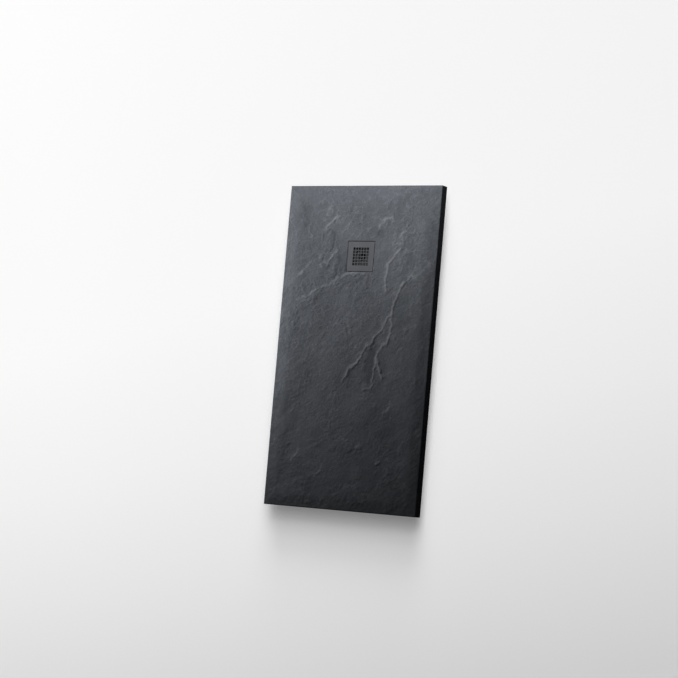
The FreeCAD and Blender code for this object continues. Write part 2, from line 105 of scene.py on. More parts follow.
# --- The random relief: its heights hold for a boldness and a roughness of 1 -------------------------------
SEED = 7
GRAIN_ANGLE = math.radians(38.0)  # the streaks run from the foot's left to the head's right
GRAIN_STRETCH = 1.35  # how far the relief is drawn out along its grain
HEAD_BOLDNESS = 2.2
FOOT_BOLDNESS = 0.9
BOLD_FROM_Y = -220.0  # the relief grows bolder from here to the head edge
WARP_SCALE = 40.0
WARP_REACH = 4.0  # how far the lines of the relief are bent
PATCH_SCALE = 85.0
PATCH_MEAN = 0.5
PATCH_CONTRAST = 0.55
PATCH_CALM = 0.45  # the roughness of the calmest patch
PATCH_GAIN = 0.75  # how much rougher the roughest one is
SWELL_SCALE = 130.0
SWELL_HEIGHT = 0.3
STREAK_SCALE = 46.0
STREAK_HEIGHT = 0.3
LAYER_SCALE = 75.0
LAYER_COUNT = 1.3  # how many layers one unit of the noise crosses
LAYER_HEIGHT = 0.42
LAYER_EDGE = 0.16  # the share of a layer's width that its broken edge takes up
CHIP_SCALE = 19.0
CHIP_HEIGHT = 0.5
CHIP_NARROWNESS = 2.2
CHIP_SHARPNESS = 1.5
# How strongly the chips' crests are painted paler and their low places darker: painted highlight and painted
# shade.
CHIP_PAINTED_LIGHT = 0.45
CHIP_MEAN = 0.25  # a chip of this height keeps the coat's tone
PIT_SCALE = 10.0
PIT_HEIGHT = 0.13

# --- The veins, flakes and clefts that the photograph shows ------------------------------------------------
AWAY_FROM_LIGHT = Vector((0.8, -0.6))
LIT_FLANK = 1.0  # a ridge's width on its lit side and on its dark side, in its half widths
DARK_FLANK = 0.5
BACK_SLOPE = 3.0  # the width of the gentle slope behind a ridge, in its half widths
BACK_SHARE = 0.2  # the share of a ridge's height that this slope has
END_FADE = 0.1  # the share of a route's length over which each end fades
VEIN_BEND = 0.3  # the share of the relief's bending that a vein follows
VEIN_JAG = 2.4  # how far a vein strays from its route
VEIN_JAG_SCALE = 15.0
VEIN_SWELL = 0.3  # how much a vein's height rises and falls along it
VEIN_SWELL_SCALE = 45.0
BREAK_SCALE = 15.0
BREAK_MEAN = 0.6
BREAK_CONTRAST = 0.6
VEIN_WHOLE = 0.6  # the share of a vein's height that no break takes
FLAKE_WHOLE = 0.45
# Each vein and flake: its height, its half width, and its route from the left edge and from the head edge.
VEINS = (
    (2.9, 7.0, ((536, 250), (511, 282), (486, 313), (485, 338), (474, 368), (476, 393), (483, 417),
                (489, 437))),
    (1.5, 6.0, ((688, 305), (656, 327), (631, 353), (614, 363), (592, 363), (574, 381))),
    (3.0, 6.5, ((574, 381), (556, 401), (549, 416), (538, 441), (529, 466), (522, 486), (520, 516),
                (520, 530))),
    (2.6, 6.5, ((522, 500), (520, 516), (504, 529), (491, 547), (480, 572), (467, 592), (446, 613),
                (437, 633), (412, 649), (398, 679), (381, 710), (366, 725), (344, 737), (334, 762),
                (319, 787), (303, 796))),
    (2.5, 6.5, ((520, 516), (524, 560), (521, 591), (515, 615), (511, 631), (492, 641), (479, 656),
                (469, 672), (465, 692), (476, 716), (488, 745), (499, 770), (509, 784))),
    (1.6, 6.0, ((465, 692), (463, 726), (460, 756), (455, 786), (454, 811), (426, 817), (410, 826))),
    (1.9, 7.0, ((385, 354), (363, 354), (329, 353), (294, 357), (278, 372), (253, 382), (232, 403))),
)
FLAKES = (
    (1.3, 6.5, ((232, 403), (190, 412), (159, 429), (113, 450), (86, 463), (68, 476))),
    (1.8, 6.5, ((132, 303), (110, 328), (94, 349), (72, 373))),
    (1.8, 7.0, ((250, 257), (233, 277), (217, 298), (195, 318))),
    (1.8, 7.0, ((241, 119), (219, 139), (193, 160), (176, 180))),
    (1.3, 6.0, ((204, 78), (192, 98), (180, 119))),
    (1.4, 7.0, ((492, 126), (456, 138), (435, 158), (428, 178))),
    (1.0, 6.0, ((560, 175), (540, 190), (525, 215))),
    (0.7, 6.0, ((545, 850), (550, 880), (510, 915))),
    (1.8, 5.5, ((85, 925), (110, 910))),
    (1.8, 5.5, ((500, 1115), (520, 1090))),
    (0.8, 5.5, ((110, 1120), (140, 1085), (150, 1060))),
    (0.7, 5.5, ((230, 1180), (250, 1150), (262, 1120))),
)
# Each cleft: its depth, its half width and its route.
CLEFTS = (
    (1.1, 6.0, ((204, 176), (220, 196), (228, 220), (226, 253))),
    (0.9, 6.0, ((256, 279), (254, 316), (249, 357), (230, 386))),
    (0.7, 5.5, ((433, 178), (422, 203))),
    (0.9, 9.0, ((448, 618), (439, 666), (429, 706), (416, 758))),
    (0.9, 16.0, ((450, 650), (445, 720), (440, 800))),
)
# Each cloud: how much paler it makes the coat (darker below 0), its half width and its route.
CLOUDS = (
    (0.3, 70.0, ((500, 180), (530, 300), (560, 440))),
    (0.25, 35.0, ((620, 120), (622, 360), (625, 600))),
    (-0.25, 40.0, ((82, 40), (84, 100), (90, 180))),
    (-0.25, 70.0, ((420, 950), (520, 1010), (560, 1060))),
    (-0.2, 60.0, ((350, 700), (350, 830))),
)

# --- The finishes ------------------------------------------------------------------------------------------
GELCOAT_DARK = (0.058, 0.063, 0.071)
GELCOAT_PALE = (0.086, 0.091, 0.101)
GELCOAT_STREAK = (0.099, 0.105, 0.115)
GELCOAT_SPECK = (0.041, 0.044, 0.051)
# Painted highlight on crests and veins, and painted shade in clefts.
GELCOAT_PAINTED_HIGHLIGHT = (0.161, 0.168, 0.181)
GELCOAT_PAINTED_SHADE = (0.03, 0.032, 0.038)
GELCOAT_GRAIN = (1.3, 1.0, 1.0)  # how far the coat's grain is drawn out along each of its own axes
GELCOAT_FOOT_DEPTH = 0.24  # the depth of the coat's grain at the foot and at the head
GELCOAT_HEAD_DEPTH = 1.5
COVER_DARK = (0.056, 0.059, 0.065)
COVER_PALE = (0.068, 0.071, 0.077)
COVER_PORE = (0.045, 0.047, 0.051)
COVER_RUBBED = (0.123, 0.126, 0.132)
RESIN_DARK = (0.14, 0.137, 0.13)
RESIN_PALE = (0.2, 0.196, 0.188)
RESIN_PALE_GRAIN = (0.32, 0.315, 0.3)
RESIN_DARK_GRAIN = (0.08, 0.078, 0.074)
STAINLESS_DARK = (0.55, 0.55, 0.54)
STAINLESS_PALE = (0.66, 0.66, 0.65)
STAINLESS_LINES = (1.0, 1.0, 12.0)  # the fine lines are drawn out along the piece
BRASS_DARK = (0.55, 0.4, 0.18)
BRASS_PALE = (0.78, 0.6, 0.3)
BRASS_LINES = (6.0, 6.0, 1.0)  # the turning marks are drawn out across the piece
BLACKENED_DARK = (0.038, 0.039, 0.041)
BLACKENED_PALE = (0.053, 0.054, 0.057)
BLACKENED_WORN = (0.24, 0.24, 0.235)
# Each rubber: its darkest and its palest colour.
RUBBERS = {
    "pad_rubber": ((0.02, 0.02, 0.022), (0.035, 0.035, 0.037)),
    "seal_rubber": ((0.024, 0.024, 0.027), (0.045, 0.045, 0.048)),
}
# Each moulded plastic: its darkest and its palest colour, and its least and its greatest roughness.
PLASTICS = {
    "waste_plastic": ((0.035, 0.037, 0.04), (0.05, 0.052, 0.056), 0.38, 0.55),
    "trap_plastic": ((0.7, 0.7, 0.67), (0.78, 0.78, 0.76), 0.35, 0.5),
    "insert_plastic": ((0.075, 0.079, 0.084), (0.1, 0.104, 0.11), 0.4, 0.55),
    "slip_ring_plastic": ((0.45, 0.5, 0.56), (0.56, 0.61, 0.67), 0.2, 0.32),
}
PLASTIC_EDGE_GAIN = 1.25  # the colour of a plastic's edges is its palest one times this
PLASTIC_EDGE_LIFT = 0.02  # plus this
PLASTIC_EDGE_SHOW = 0.4  # how strongly it shows

# --- The camera, as the photograph shows the tray ----------------------------------------------------------
LENS_MM = 110.5
SENSOR_MM = 36.0
CAMERA_SIGHT = 100000.0  # how far the camera sees
CAMERA_PITCH = math.radians(3.80)  # down
TRAY_TURN = math.radians(31.16)  # the face turns away from the camera about the upright
TRAY_LEAN = math.radians(9.52)  # the tray leans back
FOOT_FROM_CAMERA = Vector((-4.9, 8163.4, -1221.5))  # the middle of the face's foot edge: right, away, up
EDGE_HEIGHT = RIDGE_Z - RIM_RISE

# --- The light ---------------------------------------------------------------------------------------------
HEAD_LAMP_PLACE = Vector((90.0, 900.0, 480.0))
HEAD_LAMP_AIM = Vector((0.0, 300.0, 40.0))
HEAD_LAMP_SIZE = (900.0, 300.0)
HEAD_LAMP_WATTS = 8.8
LEFT_LAMP_PLACE = Vector((-1090.0, 270.0, 270.0))
LEFT_LAMP_AIM = Vector((0.0, 130.0, 40.0))
LEFT_LAMP_SIZE = (700.0, 260.0)
LEFT_LAMP_WATTS = 28.0
FLOOR_LIGHT = 2.3
# Each sun that lights the floor: its share of the light, the way to it and how widely it spreads.
FLOOR_SUNS = (
    (0.35, Vector((0.45, 0.4, 1.0)), math.radians(34.0)),
    (0.25, Vector((0.45, 0.8, 1.0)), math.radians(28.0)),
    (0.2, Vector((0.4, 1.6, 1.0)), math.radians(30.0)),
    (0.2, Vector((0.2, 3.0, 1.0)), math.radians(28.0)),
)
AMBIENT = 0.003  # the strength of the even light from all around
BACKDROP = 0.85  # how bright the camera sees what lies beyond the floor

# --- The floor ---------------------------------------------------------------------------------------------
FLOOR_SIDE = 60000.0
FLOOR_GAP = 0.5  # how far the floor lies below the trap
FLOOR_GLOW = 0.28  # what of the floor's shade the camera sees without the suns
FLOOR_BOUNCE = (0.012, 0.012, 0.013)  # the floor's colour where light would bounce off it
# The floor is painted paler towards the head and the left and darker beyond the foot: painted light falloff.
FLOOR_TURN = math.radians(13.8)  # the floor's painted shades run this far from the tray's axes
# The floor's painted shade at places along the tray's length, from far beyond the foot to far beyond the
# head.
FLOOR_PAINTED_SHADES = (
    (-4500.0, 0.85), (-1400.0, 0.61), (-800.0, 0.74), (-300.0, 0.83),
    (300.0, 0.9), (1100.0, 0.915), (2000.0, 0.935), (4500.0, 0.85),
)
FLOOR_LEFT_PAINTED_SHADE = 1.04  # the factor of the painted shade at the left and at the right reach
FLOOR_RIGHT_PAINTED_SHADE = 0.965
FLOOR_REACH = 1500.0


# --- Smooth noise ------------------------------------------------------------------------------------------
def fade(t):
    """Runs from 0 to 1, without a kink in its slope or its bend at either end."""
    return t**3 * (t * (6 * t - 15) + 10)


def smooth_noise(x, y, scale, rng):
    """Smooth random heights of about unit size, whose features have the scale's size."""
    reach = 2 * (HALF_WIDTH + HALF_LENGTH)
    spare_cells = 4
    count = int(reach / scale) + spare_cells
    table = rng.standard_normal((count, count))
    u = (x + reach / 2) / scale
    v = (y + reach / 2) / scale
    column = np.floor(u).astype(int)
    row = np.floor(v).astype(int)
    fu = fade(u - column)
    fv = fade(v - row)
    low = table[row, column] * (1 - fu) + table[row, column + 1] * fu
    high = table[row + 1, column] * (1 - fu) + table[row + 1, column + 1] * fu
    return low * (1 - fv) + high * fv


def fractal_noise(x, y, scale, octaves, rng):
    """Several layers of smooth noise, each half the size and half the height of the one before."""
    total = np.zeros_like(x)
    for octave in range(octaves):
        total += smooth_noise(x, y, scale / 2**octave, rng) / 2**octave
    return total


def smoothstep(t):
    t = np.clip(t, 0, 1)
    return t * t * (3 - 2 * t)


def soft_patches(x, y, scale, mean, contrast, rng):
    """Random patches between 0 and 1 with soft borders."""
    return smoothstep(mean + contrast * fractal_noise(x, y, scale, 2, rng))


def along_grain(x, y, angle, stretch):
    """Coordinates turned to the grain's direction and drawn out along it."""
    along = (x * math.cos(angle) + y * math.sin(angle)) / stretch
    across = -x * math.sin(angle) + y * math.cos(angle)
    return along, across


# --- The face's heights ------------------------------------------------------------------------------------
def inward_distance(x, y):
    return np.minimum(HALF_WIDTH - np.abs(x), HALF_LENGTH - np.abs(y))


def recess_distance(x, y):
    return np.maximum(np.abs(x), np.abs(y - DRAIN_Y)) - RECESS_HALF


def edge_drop(distance, radius):
    """How far a rounded edge falls at a distance from the wall."""
    run = np.clip(radius - distance, 0, radius)
    return radius - np.sqrt(radius**2 - run**2)


def plain_height(x, y):
    """The rim's slope and four falls to the recess, which turn softly into each other."""
    rim = RIDGE_Z - RIM_RISE * (1 - inward_distance(x, y) / RIM_WIDTH)
    ridge_x = HALF_WIDTH - RIM_WIDTH
    ridge_y = HALF_LENGTH - RIM_WIDTH
    side_share = (np.abs(x) - RECESS_HALF) / (ridge_x - RECESS_HALF)
    head_share = (y - DRAIN_Y - RECESS_HALF) / (ridge_y - DRAIN_Y - RECESS_HALF)
    foot_share = (DRAIN_Y - RECESS_HALF - y) / (ridge_y + DRAIN_Y - RECESS_HALF)
    shares = np.stack([side_share, head_share, foot_share])
    falls = shares * (RIDGE_Z - BASIN_LOW_Z) / FOLD_SOFTNESS
    basin = BASIN_LOW_Z + FOLD_SOFTNESS * np.logaddexp.reduce(falls, axis=0)
    return -RIDGE_SOFTNESS * np.logaddexp(-rim / RIDGE_SOFTNESS, -basin / RIDGE_SOFTNESS)


def random_relief(x, y, bent_x, bent_y, rng):
    """Swells, streaks, the edges of split layers, chips and pits, and the chips' painted highlight and shade.
    """
    head_share = smoothstep((y - BOLD_FROM_Y) / (HALF_LENGTH - BOLD_FROM_Y))
    boldness = FOOT_BOLDNESS + (HEAD_BOLDNESS - FOOT_BOLDNESS) * head_share
    patches = soft_patches(x, y, PATCH_SCALE, PATCH_MEAN, PATCH_CONTRAST, rng)
    roughness = PATCH_CALM + PATCH_GAIN * patches
    along, across = along_grain(bent_x, bent_y, GRAIN_ANGLE, GRAIN_STRETCH)
    relief = SWELL_HEIGHT * boldness * fractal_noise(x, y, SWELL_SCALE, 2, rng)
    relief += STREAK_HEIGHT * boldness * fractal_noise(along, across, STREAK_SCALE, 2, rng)
    layers = LAYER_COUNT * fractal_noise(along, across, LAYER_SCALE, 4, rng)
    within_layer = layers - np.floor(layers)
    split = np.floor(layers) + smoothstep((within_layer - (1 - LAYER_EDGE)) / LAYER_EDGE)
    relief += LAYER_HEIGHT * boldness * (split - layers)
    valleys = np.abs(fractal_noise(along, across, CHIP_SCALE, 2, rng))
    chips = np.clip(1 - CHIP_NARROWNESS * valleys, 0, 1) ** CHIP_SHARPNESS
    relief += CHIP_HEIGHT * boldness * roughness * chips
    relief += PIT_HEIGHT * boldness * roughness * smooth_noise(bent_x, bent_y, PIT_SCALE, rng)
    # Painted highlight on the chips' crests and painted shade in the low places between them.
    return relief, CHIP_PAINTED_LIGHT * roughness * (chips - CHIP_MEAN)


def route_profile(x, y, route, half_width):
    """A rounded profile along a route, steeper on the side away from the light, that fades at both ends."""
    points = [Vector((u - HALF_WIDTH, HALF_LENGTH - v)) for u, v in route]
    lengths = [(b - a).length for a, b in zip(points, points[1:])]
    total = sum(lengths)
    nearest = np.full(x.shape, np.inf)
    side = np.zeros_like(x)
    place = np.zeros_like(x)
    done = 0.0
    for a, b, length in zip(points, points[1:], lengths):
        t = ((x - a.x) * (b.x - a.x) + (y - a.y) * (b.y - a.y)) / length**2
        t = np.clip(t, 0, 1)
        dx = x - a.x - t * (b.x - a.x)
        dy = y - a.y - t * (b.y - a.y)
        distance = np.hypot(dx, dy)
        closer = distance < nearest
        nearest = np.where(closer, distance, nearest)
        side = np.where(closer, dx * AWAY_FROM_LIGHT.x + dy * AWAY_FROM_LIGHT.y, side)
        place = np.where(closer, (done + t * length) / total, place)
        done += length
    width = half_width * np.where(side < 0, LIT_FLANK, DARK_FLANK)
    back_width = half_width * np.where(side < 0, LIT_FLANK, BACK_SLOPE)
    ridge = (1 - BACK_SHARE) * np.exp(-((nearest / width) ** 2))
    back = BACK_SHARE * np.exp(-((nearest / back_width) ** 2))
    return (ridge + back) * smoothstep(np.minimum(place, 1 - place) / END_FADE)


def add_drawn_relief(relief, tone, x, y, bent_x, bent_y, rng):
    """Sets the veins and flakes on the relief with painted highlight, cuts the clefts into it with painted
    shade, and clouds the tone.
    """
    whole_places = soft_patches(x, y, BREAK_SCALE, BREAK_MEAN, BREAK_CONTRAST, rng)
    wavy_x = x + VEIN_BEND * (bent_x - x) + VEIN_JAG * smooth_noise(x, y, VEIN_JAG_SCALE, rng)
    wavy_y = y + VEIN_BEND * (bent_y - y) + VEIN_JAG * smooth_noise(x, y, VEIN_JAG_SCALE, rng)
    swelling = 1 + VEIN_SWELL * np.tanh(smooth_noise(x, y, VEIN_SWELL_SCALE, rng))
    for routes, whole in ((VEINS, VEIN_WHOLE), (FLAKES, FLAKE_WHOLE)):
        unbroken = whole + (1 - whole) * whole_places
        for height, half_width, route in routes:
            profile = route_profile(wavy_x, wavy_y, route, half_width) * unbroken * swelling
            relief += height * profile
            # Painted highlight along the vein or flake, reaching further on its lit side.
            tone += profile
    for depth, half_width, route in CLEFTS:
        profile = route_profile(wavy_x, wavy_y, route, half_width)
        relief -= depth * profile
        # Painted shade in the cleft.
        tone -= profile
    for strength, half_width, route in CLOUDS:
        tone += strength * route_profile(x, y, route, half_width)


def slate_relief(x, y):
    """The relief of the face, and its paleness: painted highlight on crests and veins above 0, painted shade
    in clefts below 0.
    """
    rng = np.random.default_rng(SEED)
    bent_x = x + WARP_REACH * fractal_noise(x, y, WARP_SCALE, 3, rng)
    bent_y = y + WARP_REACH * fractal_noise(x, y, WARP_SCALE, 3, rng)
    relief, tone = random_relief(x, y, bent_x, bent_y, rng)
    add_drawn_relief(relief, tone, x, y, bent_x, bent_y, rng)
    return relief, np.clip(tone, -1, 1)


def calmed(distance, least, reach):
    """The share of the relief that is left at a distance from an edge."""
    return least + (1 - least) * smoothstep(distance / reach)


def slate_height(x, y):
    """The face's height and its paleness with its painted highlight and shade: the plain surface with the
    relief set on it.
    """
    plain = plain_height(x, y)
    relief, tone = slate_relief(x, y)
    recess_share = calmed(recess_distance(x, y), RECESS_CALM, RECESS_CALM_REACH)
    edge_share = calmed(inward_distance(x, y), EDGE_CALM, EDGE_CALM_REACH)
    relief = relief * recess_share * edge_share + RELIEF_RISE * recess_share * np.tanh(RIDGE_Z - plain)
    relief = np.where(relief < 0, RELIEF_LOW * np.tanh(relief / RELIEF_LOW), relief)
    relief = np.where(relief > 0, RELIEF_HIGH * np.tanh(relief / RELIEF_HIGH), relief)
    z = -RIDGE_CAP * np.logaddexp(-(plain + relief) / RIDGE_CAP, -RIDGE_Z / RIDGE_CAP)
    z -= edge_drop(inward_distance(x, y), EDGE_RADIUS)
    z -= edge_drop(np.maximum(recess_distance(x, y), 0), LIP_RADIUS)
    return z, tone


# --- Mesh helpers ------------------------------------------------------------------------------------------
def grid_lines(stops, step):
    """Coordinates that meet every stop, no further apart than the step."""
    lines = []
    for start, end in zip(stops, stops[1:]):
        count = max(1, math.ceil((end - start) / step))
        lines.extend(np.linspace(start, end, count, endpoint=False))
    lines.append(stops[-1])
    return np.array(lines)


def edge_stops(wall, inwards, radius):
    """Stops that round an edge, from the wall inwards."""
    return [wall + inwards * radius * share for share in EDGE_STOP_SHARES]


def axis_stops(half, recess_low, recess_high):
    """The stops of one axis of the face, from the low edge to the high one."""
    low = edge_stops(-half, 1, EDGE_RADIUS)
    lip_low = edge_stops(recess_low, -1, LIP_RADIUS)[::-1]
    lip_high = edge_stops(recess_high, 1, LIP_RADIUS)
    high = edge_stops(half, -1, EDGE_RADIUS)[::-1]
    return [*low, -half + RIM_WIDTH, *lip_low, *lip_high, half - RIM_WIDTH, *high]


def mesh_object(name, points, faces, sharp_angle):
    """An object whose mesh is given in millimetres."""
    mesh = bpy.data.meshes.new(name)
    mesh.from_pydata([tuple(p) for p in np.asarray(points) * MM], [], faces)
    mesh.shade_smooth()
    mesh.set_sharp_from_angle(angle=sharp_angle)
    made = bpy.data.objects.new(name, mesh)
    bpy.context.scene.collection.objects.link(made)
    return made


class Sheet:
    """A surface under way, which starts as a grid: its points, the tone of each point with its painted
    highlight and shade, and its faces.
    """

    def __init__(self, xs, ys):
        x, y = np.meshgrid(xs, ys)
        z, tone = slate_height(x, y)
        self.points = list(zip(x.ravel(), y.ravel(), z.ravel()))
        self.tones_with_painted_light = list(tone.ravel())
        self.faces = []
        self.columns = len(xs)
        self.rows = len(ys)

    def number(self, i, j):
        """The number of the point on two grid lines."""
        return j * self.columns + i

    def add_grid_faces(self, left, right, low, high):
        """The faces of the whole grid, but for a rectangle of it."""
        number = self.number
        self.faces += [
            (number(i, j), number(i + 1, j), number(i + 1, j + 1), number(i, j + 1))
            for j in range(self.rows - 1)
            for i in range(self.columns - 1)
            if not (left <= i < right and low <= j < high)
        ]

    def rectangle_loop(self, left, right, low, high):
        """The numbers of the points round a rectangle of grid lines, counter-clockwise from above."""
        loop = [self.number(i, low) for i in range(left, right)]
        loop += [self.number(right, j) for j in range(low, high)]
        loop += [self.number(i, high) for i in range(right, left, -1)]
        loop += [self.number(left, j) for j in range(high, low, -1)]
        return loop

    def add_loop(self, places):
        """Adds points of plain tone, and gives their numbers."""
        first = len(self.points)
        self.points.extend(places)
        self.tones_with_painted_light.extend([0.0] * len(places))
        return list(range(first, first + len(places)))

    def add_wall(self, first_loop, second_loop):
        """Quads between two closed loops of points."""
        count = len(first_loop)
        self.faces += [
            (first_loop[i], first_loop[(i + 1) % count], second_loop[(i + 1) % count], second_loop[i])
            for i in range(count)
        ]


# --- The coat ----------------------------------------------------------------------------------------------
def add_sides(sheet):
    """The four sides in slightly wavy rows, and the turn under their foot."""
    rng = np.random.default_rng(SEED + 1)
    above = sheet.rectangle_loop(0, sheet.columns - 1, 0, sheet.rows - 1)
    x, y, z = np.array([sheet.points[n] for n in above]).T
    on_side = np.abs(np.abs(x) - HALF_WIDTH) < ON_WALL
    on_end = np.abs(np.abs(y) - HALF_LENGTH) < ON_WALL
    for row in range(1, SIDE_ROWS + 1):
        share = row / SIDE_ROWS
        level = z * (1 - share) + SKIN_FOOT_Z * share
        wave = np.tanh(smooth_noise(x + SIDE_ROW_SHIFT * row, y, SIDE_WAVE_SCALE, rng))
        depth = (SIDE_WAVE_DEPTH + SIDE_WAVE_SPREAD * wave) * (row < SIDE_ROWS)
        drawn_x = x - np.sign(x) * depth * on_side
        drawn_y = y - np.sign(y) * depth * on_end
        below = sheet.add_loop(list(zip(drawn_x, drawn_y, level)))
        sheet.add_wall(below, above)
        above = below
    tucked_x = x - np.sign(x) * SKIN_THICKNESS * (np.abs(x) > HALF_WIDTH - EDGE_RADIUS)
    tucked_y = y - np.sign(y) * SKIN_THICKNESS * (np.abs(y) > HALF_LENGTH - EDGE_RADIUS)
    foot = np.full_like(z, SKIN_FOOT_Z)
    tucked = sheet.add_loop(list(zip(tucked_x, tucked_y, foot)))
    sheet.add_wall(tucked, above)


def add_recess(sheet, lip):
    """The recess's walls, its floor and the hole over the flange, down through the coat."""
    square = [sheet.points[n] for n in lip]
    angles = [math.atan2(y - DRAIN_Y, x) for x, y, z in square]
    circle = [
        (FLANGE_HOLE_RADIUS * math.cos(angle), DRAIN_Y + FLANGE_HOLE_RADIUS * math.sin(angle))
        for angle in angles
    ]
    foot = sheet.add_loop([(x, y, RECESS_FLOOR_Z) for x, y, z in square])
    hole = sheet.add_loop([(x, y, RECESS_FLOOR_Z) for x, y in circle])
    under = sheet.add_loop([(x, y, RECESS_FLOOR_Z - SKIN_THICKNESS) for x, y in circle])
    for first_loop, second_loop in ((lip, foot), (foot, hole), (hole, under)):
        sheet.add_wall(first_loop, second_loop)


def recess_lines(lines, middle):
    """The numbers of the two grid lines on the recess's walls."""
    return [int(np.argmin(np.abs(lines - middle - side * RECESS_HALF))) for side in (-1, 1)]


def slate_coat():
    """The coat over the face, the edges and the recess, with the slate relief in its mesh."""
    xs = grid_lines(axis_stops(HALF_WIDTH, -RECESS_HALF, RECESS_HALF), GRID_STEP)
    ys = grid_lines(axis_stops(HALF_LENGTH, DRAIN_Y - RECESS_HALF, DRAIN_Y + RECESS_HALF), GRID_STEP)
    opening = (*recess_lines(xs, 0.0), *recess_lines(ys, DRAIN_Y))
    sheet = Sheet(xs, ys)
    sheet.add_grid_faces(*opening)
    add_sides(sheet)
    add_recess(sheet, sheet.rectangle_loop(*opening))
    coat = mesh_object("slate_coat", sheet.points, sheet.faces, SHARP_ANGLE)
    # The tone holds painted highlight on crests and veins and painted shade in clefts.
    attribute = coat.data.attributes.new("slate_tone_and_painted_light", "FLOAT", "POINT")
    attribute.data.foreach_set("value", np.array(sheet.tones_with_painted_light, np.float32))
    return coat


# --- Materials ---------------------------------------------------------------------------------------------
class Recipe:
    """A material's node tree, with the parts that most finishes share."""

    MIX_SHARE = 0  # the sockets of a mix of two colours
    MIX_FIRST = 6
    MIX_SECOND = 7
    MIX_RESULT = 2

    def __init__(self, name):
        self.material = bpy.data.materials.new(name)
        self.material.use_nodes = True
        self.tree = self.material.node_tree
        self.tree.nodes.clear()
        self.output = self.node("ShaderNodeOutputMaterial")
        self.shader = self.node("ShaderNodeBsdfPrincipled")
        self.link(self.shader.outputs["BSDF"], self.output.inputs["Surface"])
        self.place = self.node("ShaderNodeTexCoord").outputs["Object"]

    def node(self, kind, **settings):
        made = self.tree.nodes.new(kind)
        for key, value in settings.items():
            setattr(made, key, value)
        return made

    def link(self, source, target):
        self.tree.links.new(source, target)

    def stretched(self, turn, factors):
        """The place, turned in plan and scaled along its own axes."""
        turned = self.node("ShaderNodeMapping", vector_type="TEXTURE")
        turned.inputs["Rotation"].default_value = (0, 0, turn)
        turned.inputs["Scale"].default_value = factors
        self.link(self.place, turned.inputs["Vector"])
        return turned.outputs["Vector"]

    def noise(self, scale, detail=4.0, place=None, rough=0.55):
        made = self.node("ShaderNodeTexNoise")
        made.inputs["Scale"].default_value = scale
        made.inputs["Detail"].default_value = detail
        made.inputs["Roughness"].default_value = rough
        self.link(place or self.place, made.inputs["Vector"])
        return made.outputs["Fac"]

    def spread(self, value, low, high, start=0.3, end=0.7):
        """A value taken from one range, that of most noise if none is given, to another."""
        made = self.node("ShaderNodeMapRange")
        for key, number in (("From Min", start), ("From Max", end), ("To Min", low), ("To Max", high)):
            made.inputs[key].default_value = number
        self.link(value, made.inputs["Value"])
        return made.outputs["Result"]

    def math(self, operation, first, second):
        made = self.node("ShaderNodeMath", operation=operation)
        for socket, value in zip(made.inputs, (first, second)):
            if isinstance(value, (int, float)):
                socket.default_value = value
            else:
                self.link(value, socket)
        return made.outputs["Value"]

    def mix(self, share, first, second):
        """A colour between two colours; each is a socket or three numbers."""
        made = self.node("ShaderNodeMix", data_type="RGBA")
        for number, value in ((self.MIX_FIRST, first), (self.MIX_SECOND, second)):
            if isinstance(value, tuple):
                made.inputs[number].default_value = (*value, 1.0)
            else:
                self.link(value, made.inputs[number])
        self.link(share, made.inputs[self.MIX_SHARE])
        return made.outputs[self.MIX_RESULT]

    def bump(self, height, distance, strength=1.0, normal=None):
        """Bumps of a height in metres, which is a number or a socket."""
        made = self.node("ShaderNodeBump")
        made.inputs["Strength"].default_value = strength
        if isinstance(distance, float):
            made.inputs["Distance"].default_value = distance
        else:
            self.link(distance, made.inputs["Distance"])
        self.link(height, made.inputs["Height"])
        if normal is not None:
            self.link(normal, made.inputs["Normal"])
        return made.outputs["Normal"]

    def edges(self, radius):
        """About 1 on a surface's edges and 0 away from them."""
        bevel = self.node("ShaderNodeBevel", samples=4)
        bevel.inputs["Radius"].default_value = radius * MM
        geometry = self.node("ShaderNodeNewGeometry")
        alike = self.node("ShaderNodeVectorMath", operation="DOT_PRODUCT")
        self.link(bevel.outputs["Normal"], alike.inputs[0])
        self.link(geometry.outputs["Normal"], alike.inputs[1])
        return self.spread(alike.outputs["Value"], 1.0, 0.0, start=0.85, end=0.99)

    def finish(self, colour, roughness, normal, metallic=0.0, specular=0.5):
        self.link(colour, self.shader.inputs["Base Color"])
        self.link(roughness, self.shader.inputs["Roughness"])
        self.link(normal, self.shader.inputs["Normal"])
        self.shader.inputs["Metallic"].default_value = metallic
        self.shader.inputs["Specular IOR Level"].default_value = specular
        return self.material


